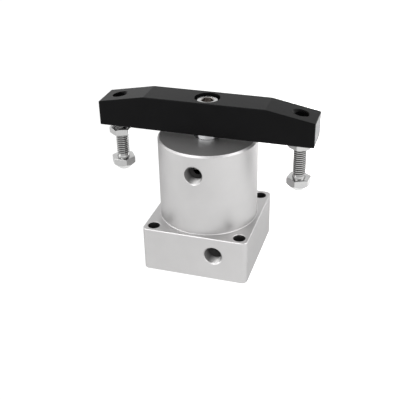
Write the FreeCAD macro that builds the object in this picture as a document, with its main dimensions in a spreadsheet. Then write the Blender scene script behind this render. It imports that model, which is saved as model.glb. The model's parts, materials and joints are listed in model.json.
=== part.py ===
import FreeCAD, Part
import os
import Sketcher

# Rotary clamp cylinder with a double-ended arm, in millimetres.
# Origin at the centre of the flange's underside, +Z up along the rod, air ports facing -Y, arm along X.

SIZES = {
    # Square flange and round barrel, machined as one piece
    "base_height": 21.8,
    "base_corner": 2.5,
    "base_chamfer": 0.3,
    "flange_margin": 2,
    "barrel_wall": 7,
    "barrel_chamfer": 0.8,
    "barrel_root": 0.4,
    # Fixing holes in the flange's corners
    "fixing_edge": 4.5,
    "fixing_dia": 5.5,
    "fixing_chamfer": 0.25,
    # Air ports, tapped 1/8 inch
    "port_dia": 8.2,
    "port_chamfer": 0.55,
    "port_depth": 6,
    "port_drill_dia": 3.4,
    "port_break_in": 1,
    "lower_port_side": 9.2,
    "lower_port_height": 12.7,
    "upper_port_rise": 0.6,
    # Bore, piston travel and the turn that goes with it
    "bore_dia": 32,
    "bore_lead": 0.5,
    "stroke": 24,
    "swing_angle": 90,
    "end_gap": 0.3,
    # Bottom cover with its O-ring, key pin and retaining ring
    "cover_step": 2,
    "cover_thick": 6.5,
    "cover_chamfer": 0.4,
    "cover_groove_land": 0.8,
    "cover_groove_width": 2.2,
    "cover_groove_depth": 1.6,
    "key_dia": 3,
    "key_length": 2.6,
    "ring_inset": 1.6,
    "ring_slot": 1.6,
    "ring_slot_depth": 1,
    "ring_thick": 1.5,
    "ring_width": 2.8,
    "ring_mouth": 9,
    "ring_lug_dia": 5.4,
    "ring_lug_hole": 2.5,
    # Guide shaft with two helical cam grooves, held by a countersunk screw
    "guide_dia": 7,
    "guide_over": 1.2,
    "guide_chamfer": 0.5,
    "guide_end_gap": 0.8,
    "cam_gap": 0.15,
    "cam_depth": 1.4,
    "cam_run_out": 2,
    "foot_flats": 11,
    "foot_thick": 2.5,
    "guide_screw_dia": 4,
    "guide_screw_length": 12,
    "guide_screw_head_dia": 7.6,
    "guide_screw_socket": 2.5,
    "guide_screw_socket_depth": 1.4,
    "guide_tap_extra": 1.5,
    # Urethane bumpers
    "bumper_dia": 26,
    "bumper_hole": 19.2,
    "bumper_seat": 1,
    "bumper_proud": 2,
    "bumper_chamfer": 0.4,
    # Rod guide and seals at the top of the barrel
    "bush_wall": 3,
    "bush_length": 4.4,
    "bush_chamfer": 0.4,
    "rod_seal_height": 2.9,
    "rod_seal_lip": 1,
    "rod_seal_notch": 1.5,
    "lip_thick": 0.6,
    "wiper_wall": 1.3,
    "wiper_height": 1,
    "wiper_slope": 0.4,
    "wiper_roof": 0.4,
    # Piston with its seal, wear ring, guide pins, O-ring and clip
    "piston_chamfer": 0.6,
    "piston_recess_dia": 18,
    "piston_recess_depth": 2.5,
    "seal_groove_start": 3.3,
    "seal_groove_width": 3.5,
    "seal_groove_depth": 3.3,
    "seal_waist": 0.9,
    "wear_land": 1.5,
    "wear_width": 3.5,
    "wear_depth": 1.5,
    "wear_split": 1,
    "piston_land": 1.2,
    "pin_dia": 2.5,
    "pin_tip_gap": 0.2,
    "pin_end_gap": 0.3,
    "rod_groove_start": 4.3,
    "rod_groove_width": 1.8,
    "rod_groove_depth": 1.25,
    "clip_thick": 1,
    "clip_slot_depth": 0.4,
    "clip_width": 2.6,
    "clip_mouth": 5,
    # Piston rod
    "rod_dia": 12,
    "spigot_step": 0.8,
    "spigot_inset": 0.3,
    "tang_step": 1,
    "tang_flats": 8,
    "tang_height": 4,
    "rod_tap_extra": 0.9,
    "rod_edge": 0.3,
    # Clamp arm
    "arm_length": 99.4,
    "arm_width": 15,
    "arm_thick": 15.5,
    "arm_end_thick": 11.4,
    "arm_flat": 55.6,
    "arm_gap": 2.5,
    "arm_chamfer": 0.3,
    "arm_hole_chamfer": 0.4,
    # Socket head screw and spring washer that hold the arm
    "screw_dia": 6,
    "screw_length": 16,
    "screw_head_dia": 10,
    "screw_head_height": 6,
    "screw_head_edge": 0.5,
    "screw_socket": 5,
    "screw_socket_depth": 3,
    "screw_turn": 17,
    "screw_recess": 1,
    "screw_bay_gap": 0.8,
    "screw_hole_gap": 0.3,
    "washer_dia": 9.9,
    "washer_thick": 1.6,
    "washer_slit": 1,
    "washer_slit_lean": 25,
    # Clamp bolts with tapered heads, and their lock nuts
    "bolt_edge": 7.2,
    "bolt_dia": 6,
    "bolt_length": 25,
    "bolt_tip": 0.6,
    "bolt_flats": 10,
    "bolt_head": 6.1,
    "bolt_face": 5,
    "bolt_taper": 45,
    "left_bolt_reach": 18.5,
    "left_bolt_turn": 5,
    "right_bolt_reach": 18,
    "right_bolt_turn": 23,
    "nut_flats": 10,
    "nut_thick": 3.2,
    "nut_face": 9.4,
    "nut_slope": 0.577,
    "nut_hole_chamfer": 0.5,
    "left_nut_gap": 3,
    "left_nut_turn": 23,
    "right_nut_gap": 0,
    "right_nut_turn": 25,
    # Clearances, each measured on one side
    "fit_gap": 0.05,
    "seal_gap": 0.05,
    "slide_gap": 0.05,
    "piston_gap": 0.2,
    "guide_gap": 0.2,
    "rod_lip_gap": 0.25,
    "rod_bumper_gap": 0.5,
    # Height of a drill point for each unit of its radius
    "drill_point": 0.6,
}

# Widths that follow from the sizes
WIDTHS = {
    "barrel_dia": "=sizes.bore_dia + 2 * sizes.barrel_wall",
    "base_side": "=barrel_dia + 2 * sizes.flange_margin",
    "fixing_spacing": "=base_side - 2 * sizes.fixing_edge",
    "cover_dia": "=sizes.bore_dia + 2 * sizes.cover_step",
    "cam_width": "=sizes.pin_dia + 2 * sizes.cam_gap",
    "bush_dia": "=sizes.rod_dia + 2 * sizes.bush_wall",
    "wiper_dia": "=sizes.rod_dia + 2 * sizes.wiper_wall",
    "spigot_dia": "=sizes.rod_dia - 2 * sizes.spigot_step",
    "tang_dia": "=sizes.rod_dia - 2 * sizes.tang_step",
    "screw_bay_dia": "=sizes.screw_head_dia + 2 * sizes.screw_bay_gap",
    "screw_hole_dia": "=sizes.screw_dia + 2 * sizes.screw_hole_gap",
    "bolt_spacing": "=sizes.arm_length - 2 * sizes.bolt_edge",
}

# Heights above the flange's underside, stacked from the bottom cover up to the arm
LEVELS = {
    "cover_bottom": "=sizes.ring_inset + sizes.ring_slot",
    "cover_top": "=cover_bottom + sizes.cover_thick",
    "foot_bottom": "=cover_top - sizes.foot_thick",
    "piston_bottom": "=cover_top + sizes.bumper_proud",
    "clip_top": "=piston_bottom + sizes.piston_recess_depth",
    "seal_low": "=piston_bottom + sizes.seal_groove_start",
    "wear_low": "=seal_low + sizes.seal_groove_width + sizes.wear_land",
    "pin_level": "=wear_low + sizes.wear_width / 2",
    "piston_top": "=wear_low + sizes.wear_width + sizes.piston_land",
    "guide_top": "=pin_level + sizes.stroke + sizes.pin_dia / 2 + sizes.guide_over",
    "roof": "=piston_top + sizes.stroke + sizes.end_gap + sizes.bumper_proud",
    "bush_bottom": "=roof + sizes.bumper_seat",
    "seal_bottom": "=bush_bottom + sizes.bush_length",
    "lip_bottom": "=seal_bottom + sizes.rod_seal_height + 2 * sizes.seal_gap",
    "wiper_bottom": "=lip_bottom + sizes.lip_thick",
    "wiper_top": "=wiper_bottom + sizes.wiper_height",
    "body_top": "=wiper_top + sizes.wiper_roof",
    "arm_bottom": "=body_top + sizes.arm_gap",
    "tang_top": "=arm_bottom + sizes.tang_height",
    "arm_end_top": "=arm_bottom + sizes.arm_end_thick",
    "arm_top": "=arm_bottom + sizes.arm_thick",
    "screw_top": "=arm_top - sizes.screw_recess",
    "screw_seat": "=screw_top - sizes.screw_head_height",
    "screw_end": "=screw_seat - sizes.screw_length",
    "bay_floor": "=screw_seat - sizes.washer_thick",
}

# How far a cutting profile runs past the face that it opens
OVERRUN = 1

doc = FreeCAD.newDocument("rotary_clamp_cylinder")


def make_sheet(name, cells):
    sheet = doc.addObject("Spreadsheet::Sheet", name)
    for row, (alias, content) in enumerate(cells.items(), start=1):
        sheet.set(f"A{row}", alias)
        sheet.set(f"B{row}", str(content))
        sheet.setAlias(f"B{row}", alias)
    doc.recompute()
    return sheet


sizes = make_sheet("sizes", SIZES)
widths = make_sheet("widths", WIDTHS)
levels = make_sheet("levels", LEVELS)


def number(formula):
    return float(sizes.evalExpression(formula))


def bind(item, **formulas):
    for name, formula in formulas.items():
        item.setExpression(name, formula)


def place(item, x="0", y="0", z="0", turn="0"):
    item.setExpression(".Placement.Base.x", x)
    item.setExpression(".Placement.Base.y", y)
    item.setExpression(".Placement.Base.z", z)
    item.setExpression(".Placement.Rotation.Angle", turn)


# Sketches and solid features

def new_body(label):
    body = doc.addObject("PartDesign::Body", label)
    body.Label = label
    return body


def new_sketch(body, name, plane, offset):
    sketch = body.newObject("Sketcher::SketchObject", name)
    support = [part for part in body.Origin.OriginFeatures if part.Role == plane][0]
    sketch.AttachmentSupport = (support, [""])
    sketch.MapMode = "FlatFace"
    sketch.setExpression(".AttachmentOffset.Base.z", offset)
    return sketch


def fix_point(sketch, element, vertex, x, y):
    for kind, formula in (("DistanceX", x), ("DistanceY", y)):
        distance = number(formula)
        ends = (-1, 1, element, vertex)
        if distance < 0:
            ends = (element, vertex, -1, 1)
            formula = f"-({formula})"
        index = sketch.addConstraint(Sketcher.Constraint(kind, *ends, abs(distance)))
        sketch.setExpression(f"Constraints[{index}]", formula)


def outline(body, name, plane, corners, offset="0", axis=None):
    sketch = new_sketch(body, name, plane, offset)
    points = [FreeCAD.Vector(number(x), number(y), 0) for x, y in corners]
    for start, end in zip(points, points[1:] + points[:1]):
        sketch.addGeometry(Part.LineSegment(start, end))
    for index, (x, y) in enumerate(corners):
        previous = (index - 1) % len(corners)
        sketch.addConstraint(Sketcher.Constraint("Coincident", previous, 2, index, 1))
        fix_point(sketch, index, 1, x, y)
    if axis:
        ends = [FreeCAD.Vector(number(x), number(y), 0) for x, y in axis]
        line = sketch.addGeometry(Part.LineSegment(*ends), True)
        fix_point(sketch, line, 1, *axis[0])
        fix_point(sketch, line, 2, *axis[1])
    return sketch


def circles(body, name, plane, centres, radius, offset="0"):
    sketch = new_sketch(body, name, plane, offset)
    for x, y in centres:
        centre = FreeCAD.Vector(number(x), number(y), 0)
        ring = sketch.addGeometry(Part.Circle(centre, FreeCAD.Vector(0, 0, 1), number(radius)))
        index = sketch.addConstraint(Sketcher.Constraint("Radius", ring, number(radius)))
        sketch.setExpression(f"Constraints[{index}]", radius)
        fix_point(sketch, ring, 3, x, y)
    return sketch


def circle(body, name, radius, offset="0", plane="XY_Plane", x="0", y="0"):
    return circles(body, name, plane, [(x, y)], radius, offset)


def notch(body, name, width, reach, offset):
    half = f"{width} / 2"
    corners = [(f"-{half}", "0"), (half, "0"), (half, reach), (f"-{half}", reach)]
    return outline(body, name, "XY_Plane", corners, offset)


def hexagon(body, name, flats, offset):
    corner = f"{flats} / sqrt(3)"
    half = f"{flats} / 2"
    corners = [
        (corner, "0"),
        (f"{corner} / 2", half),
        (f"-{corner} / 2", half),
        (f"-{corner}", "0"),
        (f"-{corner} / 2", f"-{half}"),
        (f"{corner} / 2", f"-{half}"),
    ]
    return outline(body, name, "XY_Plane", corners, offset)


def add_feature(body, kind, name, profile, **settings):
    feature = body.newObject(f"PartDesign::{kind}", name)
    feature.Profile = profile
    for key, setting in settings.items():
        if isinstance(setting, str):
            feature.setExpression(key, setting)
        else:
            setattr(feature, key, setting)
    doc.recompute()
    return feature


def pad(body, name, profile, length, **settings):
    return add_feature(body, "Pad", name, profile, Length=length, **settings)


def pocket(body, name, profile, length, **settings):
    return remove(body, "Pocket", name, profile, Length=length, **settings)


def groove(body, name, profile, axis="V_Axis"):
    return remove(body, "Groove", name, profile, ReferenceAxis=(profile, [axis]), Angle=360)


def remove(body, kind, name, profile, **settings):
    before = body.Shape.Volume
    feature = add_feature(body, kind, name, profile, **settings)
    if feature.Shape.Volume >= before:
        raise RuntimeError(f"{name} removes nothing from {body.Label}")
    return feature


def revolve(body, name, corners):
    profile = outline(body, f"{name}_profile", "XZ_Plane", corners)
    return add_feature(body, "Revolution", name, profile, ReferenceAxis=(profile, ["V_Axis"]), Angle=360)


def turned(label, corners):
    body = new_body(label)
    revolve(body, f"{label}_turned", corners)
    return body


def dress(body, kind, name, size, wanted):
    base = body.Tip
    edges = [f"Edge{i}" for i, edge in enumerate(base.Shape.Edges, start=1) if wanted(edge)]
    feature = body.newObject(f"PartDesign::{kind}", name)
    feature.Base = (base, edges)
    feature.setExpression("Radius" if kind == "Fillet" else "Size", size)
    doc.recompute()
    return feature


def repeat(body, name, feature, profile, count):
    pattern = body.newObject("PartDesign::PolarPattern", name)
    pattern.Originals = [feature]
    pattern.Axis = (profile, ["N_Axis"])
    pattern.Angle = 360
    pattern.Occurrences = count
    body.Tip = pattern
    doc.recompute()
    return pattern


def mirror(body, name, feature, plane):
    copy = body.newObject("PartDesign::Mirrored", name)
    copy.Originals = [feature]
    support = [part for part in body.Origin.OriginFeatures if part.Role == plane][0]
    copy.MirrorPlane = (support, [""])
    body.Tip = copy
    doc.recompute()
    return copy


# Part primitives and booleans

def primitive(kind, name, **formulas):
    item = doc.addObject(f"Part::{kind}", name)
    bind(item, **formulas)
    return item


def combine(kind, label, items):
    result = doc.addObject(f"Part::{kind}", label)
    result.Label = label
    if kind in ("Cut", "Common"):
        result.Base, result.Tool = items
    elif kind == "Compound":
        result.Links = items
    else:
        result.Shapes = items
    doc.recompute()
    return result


def near(first, second):
    return abs(first - second) < 1e-4


def lies_at(edge, height):
    box = edge.BoundBox
    return near(box.ZMin, height) and near(box.ZMax, height)


def is_circle(edge, radius):
    return isinstance(edge.Curve, Part.Circle) and near(edge.Curve.Radius, radius)


# Cylinder body

def port_profile(body, name, side, mouth, height, inner):
    wall = f"{side} + sizes.port_dia / 2"
    drill = f"{side} + sizes.port_drill_dia / 2"
    rim = f"{wall} + sizes.port_chamfer + {OVERRUN}"
    floor = f"{mouth} + sizes.port_depth"
    cone = "(sizes.port_dia - sizes.port_drill_dia) / 2 * sizes.drill_point"
    corners = [
        (side, f"{mouth} - {OVERRUN}"),
        (rim, f"{mouth} - {OVERRUN}"),
        (wall, f"{mouth} + sizes.port_chamfer"),
        (wall, floor),
        (drill, f"{floor} + {cone}"),
        (drill, inner),
        (side, inner),
    ]
    axis = [(side, f"{mouth} - {OVERRUN}"), (side, inner)]
    return outline(body, name, "XY_Plane", corners, height, axis)


def make_cylinder_body():
    body = new_body("cylinder_body")
    half = "widths.base_side / 2"
    square = [(f"-{half}", f"-{half}"), (half, f"-{half}"), (half, half), (f"-{half}", half)]
    pad(body, "flange", outline(body, "flange_outline", "XY_Plane", square), "sizes.base_height")
    dress(body, "Fillet", "flange_corners", "sizes.base_corner",
          lambda edge: edge.BoundBox.ZLength > number("sizes.base_height") / 2)
    barrel = circle(body, "barrel_outline", "widths.barrel_dia / 2", "sizes.base_height")
    pad(body, "barrel", barrel, "levels.body_top - sizes.base_height")

    base_top = number("sizes.base_height")
    barrel_radius = number("widths.barrel_dia / 2")
    dress(body, "Fillet", "barrel_root", "sizes.barrel_root",
          lambda edge: is_circle(edge, barrel_radius) and lies_at(edge, base_top))
    dress(body, "Chamfer", "barrel_rim", "sizes.barrel_chamfer",
          lambda edge: is_circle(edge, barrel_radius) and lies_at(edge, number("levels.body_top")))
    reach = number("widths.base_side / 2 - sizes.base_corner")
    dress(body, "Chamfer", "flange_rim", "sizes.base_chamfer",
          lambda edge: (lies_at(edge, base_top) or lies_at(edge, 0))
          and max(abs(edge.CenterOfMass.x), abs(edge.CenterOfMass.y)) > reach)

    seat = "widths.cover_dia / 2"
    slot = f"{seat} + sizes.ring_slot_depth"
    bore = "sizes.bore_dia / 2"
    bumper = "sizes.bumper_dia / 2 + sizes.fit_gap"
    pocket_radius = "widths.bush_dia / 2"
    lip = "sizes.rod_dia / 2 + sizes.rod_lip_gap"
    wiper = "widths.wiper_dia / 2"
    cavity = [
        ("0", f"-{OVERRUN}"),
        (seat, f"-{OVERRUN}"),
        (seat, "sizes.ring_inset"),
        (slot, "sizes.ring_inset"),
        (slot, "levels.cover_bottom"),
        (seat, "levels.cover_bottom"),
        (seat, "levels.cover_top"),
        (f"{bore} + sizes.bore_lead", "levels.cover_top"),
        (bore, "levels.cover_top + 2 * sizes.bore_lead"),
        (bore, "levels.roof"),
        (bumper, "levels.roof"),
        (bumper, "levels.bush_bottom"),
        (pocket_radius, "levels.bush_bottom"),
        (pocket_radius, "levels.lip_bottom"),
        (lip, "levels.lip_bottom"),
        (lip, "levels.wiper_bottom"),
        (wiper, "levels.wiper_bottom"),
        (wiper, "levels.wiper_top"),
        (lip, "levels.wiper_top"),
        (lip, f"levels.body_top + {OVERRUN}"),
        ("0", f"levels.body_top + {OVERRUN}"),
    ]
    groove(body, "cavity", outline(body, "cavity_profile", "XZ_Plane", cavity))

    apart = "widths.fixing_spacing / 2"
    spots = [(apart, apart), (f"-{apart}", apart), (f"-{apart}", f"-{apart}"), (apart, f"-{apart}")]
    holes = circles(body, "fixing_circles", "XY_Plane", spots, "sizes.fixing_dia / 2", "sizes.base_height")
    pocket(body, "fixing_holes", holes, f"sizes.base_height + {OVERRUN}")
    dress(body, "Chamfer", "fixing_rims", "sizes.fixing_chamfer",
          lambda edge: is_circle(edge, number("sizes.fixing_dia / 2")) and lies_at(edge, base_top))

    bore_wall = "sqrt((sizes.bore_dia / 2)^2 - sizes.lower_port_side^2)"
    lower = port_profile(body, "lower_port_profile", "sizes.lower_port_side", "-widths.base_side / 2",
                         "sizes.lower_port_height", f"-{bore_wall} + sizes.port_break_in")
    groove(body, "lower_port", lower, "Axis0")
    upper = port_profile(body, "upper_port_profile", "0", "-widths.barrel_dia / 2",
                         "levels.roof + sizes.upper_port_rise", f"-{bore} + sizes.port_break_in")
    groove(body, "upper_port", upper, "Axis0")

    key = circle(body, "key_circle", "sizes.key_dia / 2 + sizes.fit_gap",
                 "levels.cover_bottom + sizes.key_length", y=seat)
    pocket(body, "key_hole", key, f"levels.cover_bottom + sizes.key_length + {OVERRUN}")
    return body


# Bottom cover, its seal, key and retaining ring

def make_bottom_cover():
    edge = "widths.cover_dia / 2 - sizes.fit_gap"
    low = "levels.cover_bottom"
    top = "levels.cover_top"
    start = f"{low} + sizes.key_length + sizes.cover_groove_land"
    end = f"{start} + sizes.cover_groove_width"
    floor = f"{edge} - sizes.cover_groove_depth"
    outer = "sizes.bumper_dia / 2 + sizes.fit_gap"
    inner = "sizes.bumper_hole / 2 - sizes.fit_gap"
    seat = f"{top} - sizes.bumper_seat"
    body = turned("bottom_cover", [
        ("0", low),
        (f"{edge} - sizes.cover_chamfer", low),
        (edge, f"{low} + sizes.cover_chamfer"),
        (edge, start),
        (floor, start),
        (floor, end),
        (edge, end),
        (edge, top),
        (outer, top),
        (outer, seat),
        (inner, seat),
        (inner, top),
        ("0", top),
    ])
    foot = hexagon(body, "foot_outline", "(sizes.foot_flats + 2 * sizes.fit_gap)", top)
    pocket(body, "foot_pocket", foot, "sizes.foot_thick")

    hole = "sizes.guide_screw_dia / 2 + sizes.fit_gap"
    rim = "sizes.guide_screw_head_dia / 2 + sizes.fit_gap"
    sink = outline(body, "screw_profile", "XZ_Plane", [
        ("0", f"{low} - {OVERRUN}"),
        (f"{rim} + {OVERRUN}", f"{low} - {OVERRUN}"),
        (hole, f"{low} + {rim} - ({hole})"),
        (hole, f"levels.foot_bottom + {OVERRUN}"),
        ("0", f"levels.foot_bottom + {OVERRUN}"),
    ])
    groove(body, "screw_hole", sink)

    key = circle(body, "cover_key_circle", "sizes.key_dia / 2 + sizes.fit_gap", f"{low} + sizes.key_length",
                 y="widths.cover_dia / 2")
    pocket(body, "cover_key_hole", key, f"sizes.key_length + {OVERRUN}")
    return body


def make_cover_o_ring():
    ring = primitive("Torus", "cover_o_ring",
                     Radius1="widths.cover_dia / 2 - (sizes.cover_groove_depth + sizes.fit_gap) / 2",
                     Radius2="(sizes.cover_groove_depth + sizes.fit_gap) / 2 - sizes.seal_gap")
    groove_start = "levels.cover_bottom + sizes.key_length + sizes.cover_groove_land"
    place(ring, z=f"{groove_start} + sizes.cover_groove_width / 2")
    return ring


def make_cover_key():
    key = primitive("Cylinder", "cover_key_pin", Radius="sizes.key_dia / 2", Height="sizes.key_length")
    place(key, y="widths.cover_dia / 2", z="levels.cover_bottom")
    return key


def make_retaining_ring():
    outer = "widths.cover_dia / 2 + sizes.ring_slot_depth - sizes.fit_gap"
    inner = f"{outer} - sizes.ring_width"
    lug_side = "(sizes.ring_mouth + sizes.ring_lug_dia) / 2"
    lug_reach = f"sqrt(({inner})^2 - ({lug_side})^2)"
    low = "levels.cover_bottom - sizes.ring_thick"
    body = new_body("retaining_ring")
    disc = circle(body, "ring_outline", outer, low)
    pad(body, "ring_disc", disc, "sizes.ring_thick")
    hole = circle(body, "ring_hole_outline", inner, "levels.cover_bottom")
    pocket(body, "ring_hole", hole, "sizes.ring_thick")
    lugs = [(lug_side, f"-({lug_reach})"), (f"-{lug_side}", f"-({lug_reach})")]
    ears = circles(body, "lug_outline", "XY_Plane", lugs, "sizes.ring_lug_dia / 2", low)
    pad(body, "ring_lugs", ears, "sizes.ring_thick")
    gap = notch(body, "mouth_outline", "sizes.ring_mouth", f"-({outer}) - {OVERRUN}", "levels.cover_bottom")
    pocket(body, "ring_mouth", gap, "sizes.ring_thick")
    eye = "sizes.ring_lug_hole / 2"
    eyes = circles(body, "lug_eyes_outline", "XY_Plane", lugs, eye, "levels.cover_bottom")
    pocket(body, "lug_eyes", eyes, "sizes.ring_thick")
    return body


# Guide shaft with its cam grooves, and its screw

def make_guide_shaft():
    blank = new_body("guide_blank")
    foot = hexagon(blank, "guide_foot_outline", "sizes.foot_flats", "levels.foot_bottom")
    pad(blank, "guide_foot", foot, "sizes.foot_thick")
    stem = circle(blank, "guide_stem_outline", "sizes.guide_dia / 2", "levels.cover_top")
    pad(blank, "guide_stem", stem, "levels.guide_top - levels.cover_top")
    dress(blank, "Chamfer", "guide_tip", "sizes.guide_chamfer",
          lambda edge: lies_at(edge, number("levels.guide_top")))
    radius = "sizes.guide_screw_dia / 2 + sizes.fit_gap"
    depth = "levels.cover_bottom + sizes.guide_screw_length + sizes.guide_tap_extra"
    tap = outline(blank, "guide_tap_profile", "XZ_Plane", [
        ("0", f"levels.foot_bottom - {OVERRUN}"),
        (radius, f"levels.foot_bottom - {OVERRUN}"),
        (radius, depth),
        ("0", f"{depth} + ({radius}) * sizes.drill_point"),
    ])
    groove(blank, "guide_tap", tap)

    # Both grooves climb a quarter turn over the stroke and run out at the top of the shaft
    lead = "sizes.stroke * 360 / sizes.swing_angle"
    start = "levels.pin_level - sizes.cam_run_out"
    cutters = []
    for side, turn in (("left", "180"), ("right", "0")):
        path = primitive("Helix", f"{side}_cam_path", Radius="sizes.guide_dia / 2", Pitch=lead,
                         Height=f"levels.guide_top - ({start}) + {OVERRUN}")
        section = primitive("Plane", f"{side}_cam_section", Width="widths.cam_width",
                            Length=f"sizes.cam_depth + {OVERRUN}")
        place(section, x="sizes.guide_dia / 2 - sizes.cam_depth", y="-widths.cam_width / 2")
        cutter = doc.addObject("Part::Sweep", f"{side}_cam_cutter")
        cutter.Sections = [section]
        cutter.Spine = (path, ["Edge1"])
        cutter.Solid = True
        cutter.Frenet = True
        place(cutter, z=start, turn=f"{turn} - sizes.cam_run_out * 360 / ({lead})")
        cutters.append(cutter)
    doc.recompute()
    return combine("Cut", "guide_shaft", [blank, combine("MultiFuse", "cam_cutters", cutters)])


def make_guide_screw():
    shank = "sizes.guide_screw_dia / 2"
    head = "sizes.guide_screw_head_dia / 2"
    low = "levels.cover_bottom"
    end = f"{low} + sizes.guide_screw_length"
    body = turned("guide_screw", [
        ("0", low),
        (head, low),
        (shank, f"{low} + {head} - {shank}"),
        (shank, end),
        ("0", end),
    ])
    floor = f"{low} + sizes.guide_screw_socket_depth"
    socket = hexagon(body, "guide_socket_outline", "sizes.guide_screw_socket", floor)
    pocket(body, "guide_socket", socket, f"sizes.guide_screw_socket_depth + {OVERRUN}")
    return body


# Bumpers, bush, rod seal and wiper

def make_bumper(label, inner, low, high):
    outer = "sizes.bumper_dia / 2"
    edge = "sizes.bumper_chamfer"
    return turned(label, [
        (f"{inner} + {edge}", low),
        (f"{outer} - {edge}", low),
        (outer, f"{low} + {edge}"),
        (outer, f"{high} - {edge}"),
        (f"{outer} - {edge}", high),
        (f"{inner} + {edge}", high),
        (inner, f"{high} - {edge}"),
        (inner, f"{low} + {edge}"),
    ])


def make_rod_bush():
    inner = "sizes.rod_dia / 2 + sizes.slide_gap"
    outer = "widths.bush_dia / 2 - sizes.fit_gap"
    edge = "sizes.bush_chamfer"
    low = "levels.bush_bottom"
    top = "levels.seal_bottom"
    return turned("rod_bush", [
        (f"{inner} + {edge}", low),
        (outer, low),
        (outer, f"{top} - {edge}"),
        (f"{outer} - {edge}", top),
        (f"{inner} + {edge}", top),
        (inner, f"{top} - {edge}"),
        (inner, f"{low} + {edge}"),
    ])


def make_rod_seal():
    inner = "sizes.rod_dia / 2 + sizes.seal_gap"
    outer = "widths.bush_dia / 2 - sizes.seal_gap"
    low = "levels.seal_bottom + sizes.seal_gap"
    top = f"{low} + sizes.rod_seal_height"
    return turned("rod_seal", [
        (inner, low),
        (f"{inner} + sizes.rod_seal_lip", low),
        (f"({inner} + {outer}) / 2", f"{low} + sizes.rod_seal_notch"),
        (f"{outer} - sizes.rod_seal_lip", low),
        (outer, low),
        (outer, top),
        (inner, top),
    ])


def make_rod_wiper():
    inner = "sizes.rod_dia / 2 + sizes.seal_gap"
    outer = "widths.wiper_dia / 2 - sizes.fit_gap"
    low = "levels.wiper_bottom"
    top = "levels.wiper_top - sizes.seal_gap"
    return turned("rod_wiper", [
        (f"{inner} + sizes.wiper_slope", low),
        (outer, low),
        (outer, f"{top} - sizes.wiper_slope"),
        (f"{inner} + sizes.wiper_slope", top),
        (inner, top),
        (inner, f"{low} + sizes.wiper_slope"),
    ])


# Piston and what it carries

def cross_hole(body, name):
    radius = "sizes.pin_dia / 2 + sizes.fit_gap"
    ring = circle(body, f"{name}_circle", radius, plane="YZ_Plane", y="levels.pin_level")
    return pocket(body, name, ring, f"sizes.bore_dia + {OVERRUN}", Midplane=True)


def make_piston():
    edge = "sizes.bore_dia / 2 - sizes.piston_gap"
    hole = "widths.spigot_dia / 2 + sizes.fit_gap"
    recess = "sizes.piston_recess_dia / 2"
    chamfer = "sizes.piston_chamfer"
    low = "levels.piston_bottom"
    top = "levels.piston_top"
    seal = "levels.seal_low"
    wear = "levels.wear_low"
    ring = f"{low} + sizes.rod_groove_start"
    body = turned("piston", [
        (recess, low),
        (f"{edge} - {chamfer}", low),
        (edge, f"{low} + {chamfer}"),
        (edge, seal),
        (f"{edge} - sizes.seal_groove_depth", seal),
        (f"{edge} - sizes.seal_groove_depth", f"{seal} + sizes.seal_groove_width"),
        (edge, f"{seal} + sizes.seal_groove_width"),
        (edge, wear),
        (f"{edge} - sizes.wear_depth", wear),
        (f"{edge} - sizes.wear_depth", f"{wear} + sizes.wear_width"),
        (edge, f"{wear} + sizes.wear_width"),
        (edge, f"{top} - {chamfer}"),
        (f"{edge} - {chamfer}", top),
        (hole, top),
        (hole, f"{ring} + sizes.rod_groove_width"),
        (f"{hole} + sizes.rod_groove_depth", f"{ring} + sizes.rod_groove_width"),
        (f"{hole} + sizes.rod_groove_depth", ring),
        (hole, ring),
        (hole, "levels.clip_top"),
        (recess, "levels.clip_top"),
    ])
    cross_hole(body, "piston_pin_hole")
    return body


def make_piston_seal():
    inner = "sizes.bore_dia / 2 - sizes.piston_gap - sizes.seal_groove_depth + sizes.seal_gap"
    outer = "sizes.bore_dia / 2 - sizes.seal_gap"
    low = "levels.seal_low + sizes.seal_gap"
    top = "levels.seal_low + sizes.seal_groove_width - sizes.seal_gap"
    return turned("piston_seal", [
        (inner, low),
        (outer, low),
        (f"{outer} - sizes.seal_waist", f"({low} + {top}) / 2"),
        (outer, top),
        (inner, top),
    ])


def make_wear_ring():
    inner = "sizes.bore_dia / 2 - sizes.piston_gap - sizes.wear_depth + sizes.seal_gap"
    outer = "sizes.bore_dia / 2 - sizes.seal_gap"
    low = "levels.wear_low + sizes.seal_gap"
    top = "levels.wear_low + sizes.wear_width - sizes.seal_gap"
    body = turned("wear_ring", [(inner, low), (outer, low), (outer, top), (inner, top)])
    split = notch(body, "wear_split_outline", "sizes.wear_split", f"sizes.bore_dia / 2 + {OVERRUN}", top)
    pocket(body, "wear_split", split, "sizes.wear_width")
    return body


def make_guide_pins():
    tip = "sizes.guide_dia / 2 - sizes.cam_depth + sizes.pin_tip_gap"
    end = "sizes.bore_dia / 2 - sizes.piston_gap - sizes.wear_depth - sizes.pin_end_gap"
    pins = []
    for side, start in (("left", f"-({end})"), ("right", tip)):
        body = new_body(f"{side}_guide_pin")
        ring = circle(body, f"{side}_pin_circle", "sizes.pin_dia / 2", start, "YZ_Plane",
                      y="levels.pin_level")
        pad(body, f"{side}_pin", ring, f"{end} - ({tip})")
        pins.append(body)
    return combine("Compound", "guide_pins", pins)


def make_rod_o_ring():
    inner = "widths.spigot_dia / 2"
    depth = "sizes.fit_gap + sizes.rod_groove_depth"
    ring = primitive("Torus", "rod_o_ring",
                     Radius1=f"{inner} + ({depth}) / 2",
                     Radius2=f"({depth}) / 2 - sizes.seal_gap")
    place(ring, z="levels.piston_bottom + sizes.rod_groove_start + sizes.rod_groove_width / 2")
    return ring


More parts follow.
